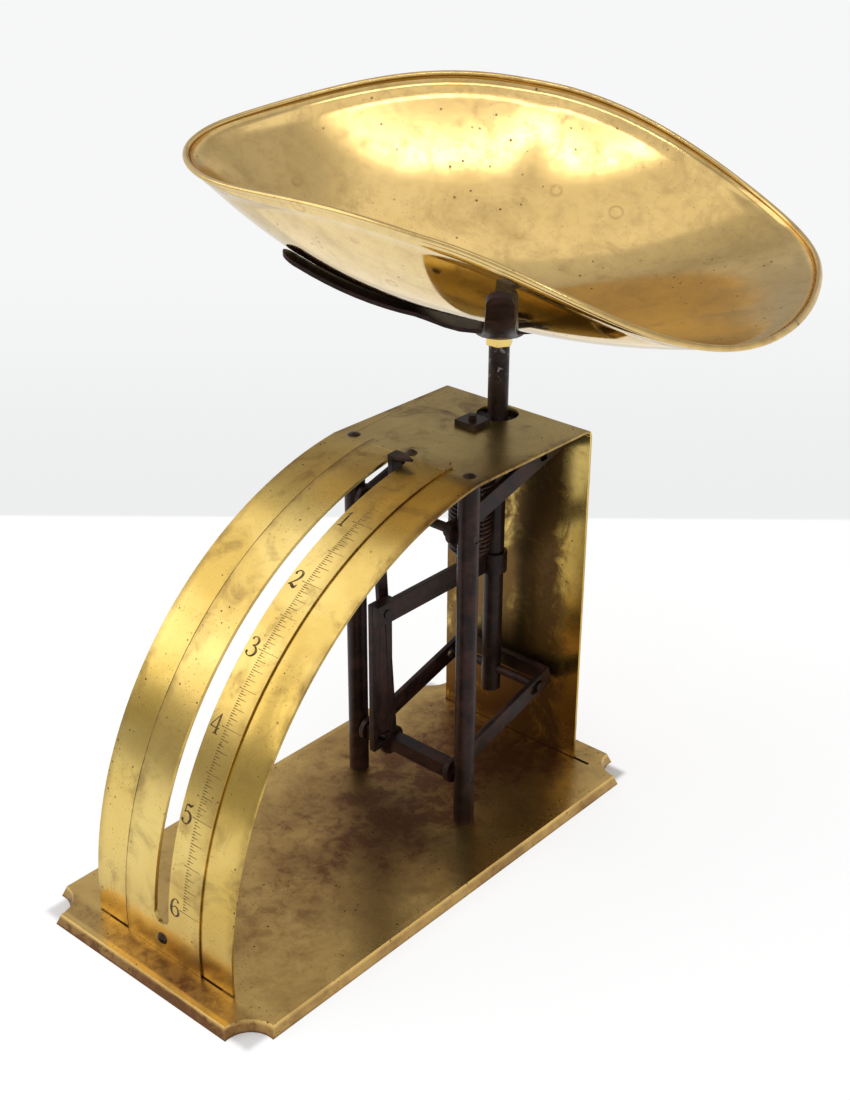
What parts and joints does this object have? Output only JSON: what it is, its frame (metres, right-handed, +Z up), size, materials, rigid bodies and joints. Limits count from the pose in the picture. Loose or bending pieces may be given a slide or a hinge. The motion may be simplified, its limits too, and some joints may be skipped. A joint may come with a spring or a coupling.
{
  "type": "weighing scale",
  "caption": "Spring scale: a scoop pan on a rod, two levers and a coil spring turn a pointer along a slotted quadrant dial on a brass tray.",
  "frame": {"origin": "on the table under the base, on the line between the two pillars and midway between them", "axes": "+Z up, -Y to the reader in front of the dial, +X to the reader's right"},
  "size_m": [0.2746, 0.3579, 0.3151],
  "materials": {
    "base_brass": "old satin brass, brown under the mechanism",
    "case_brass": "worn satin brass",
    "scale_brass": "satin brass with stamped figures",
    "pan_brass": "polished spun brass",
    "nut_brass": "bright brass",
    "wrought_iron": "dark browned iron"
  },
  "bodies": {
    "frame": {"base_tray": "base_brass", "case_sheet": "case_brass", "scale_plate": "scale_brass", "scale_screw_top": "wrought_iron", "scale_screw_low": "wrought_iron", "scale_nut_top": "wrought_iron", "scale_nut_low": "wrought_iron", "pillar_left": "wrought_iron", "pillar_right": "wrought_iron", "top_rivet_left": "wrought_iron", "top_rivet_right": "wrought_iron", "foot_screw_left": "wrought_iron", "foot_screw_right": "wrought_iron", "lower_shaft": "wrought_iron", "upper_shaft": "wrought_iron", "lower_sleeve_left": "wrought_iron", "lower_sleeve_right": "wrought_iron", "upper_collar_left": "wrought_iron", "upper_collar_right": "wrought_iron", "spring_stud": "wrought_iron", "spring": "wrought_iron"},
    "zero_nut": {"zero_nut": "wrought_iron"},
    "lower_lever": {"lower_lever": "wrought_iron"},
    "upper_lever": {"upper_lever": "wrought_iron"},
    "rod": {"pan_rod": "wrought_iron", "lower_cross_pin": "wrought_iron", "upper_cross_pin": "wrought_iron", "bracket_clamp": "wrought_iron", "bracket_bar": "wrought_iron", "bracket_pin": "wrought_iron", "bracket_upright": "wrought_iron", "bracket_rivet": "wrought_iron", "collar_nut": "nut_brass", "cradle_hub": "wrought_iron", "cradle_long": "wrought_iron", "cradle_short": "wrought_iron", "cradle_rivet": "wrought_iron"},
    "pointer": {"pointer_hub": "wrought_iron", "pointer_arm": "wrought_iron", "pointer_flag": "wrought_iron", "crank_pin": "wrought_iron"},
    "pan": {"pan": "pan_brass"}
  },
  "joints": [
    {"name": "rod_slide", "type": "slide", "parent": "frame", "child": "rod", "axis": [0, 0, -1], "range_m": [0, 0.0172], "stiffness_N_per_m": 1552, "springref_m": -0.0065, "deforming": ["spring"]},
    {"name": "lower_lever_hinge", "type": "hinge", "parent": "frame", "child": "lower_lever", "pos_m": [0, 0, 0.0298], "axis": [1, 0, 0], "range_deg": [-15.53, 0]},
    {"name": "upper_lever_hinge", "type": "hinge", "parent": "frame", "child": "upper_lever", "pos_m": [0, 0, 0.153], "axis": [1, 0, 0], "range_deg": [-15.53, 0]},
    {"name": "pointer_hinge", "type": "hinge", "parent": "frame", "child": "pointer", "pos_m": [-0.0018, 0, 0.0298], "axis": [1, 0, 0], "range_deg": [0, 88.05]},
    {"name": "pan_lift", "type": "slide", "parent": "rod", "child": "pan", "axis": [0, 0, 1], "range_m": [0, 0.12]},
    {"name": "zero_nut_turn", "type": "hinge", "parent": "frame", "child": "zero_nut", "pos_m": [-0.0018, 0.044, 0.1812], "axis": [0, 0, 1], "continuous": true}
  ],
  "couplings": [
    {"joint": "lower_lever_hinge", "follows": "rod_slide", "rad_per_m": -15.733},
    {"joint": "upper_lever_hinge", "follows": "rod_slide", "rad_per_m": -15.733},
    {"joint": "pointer_hinge", "follows": "rod_slide", "rad_per_m": 89.296}
  ]
}
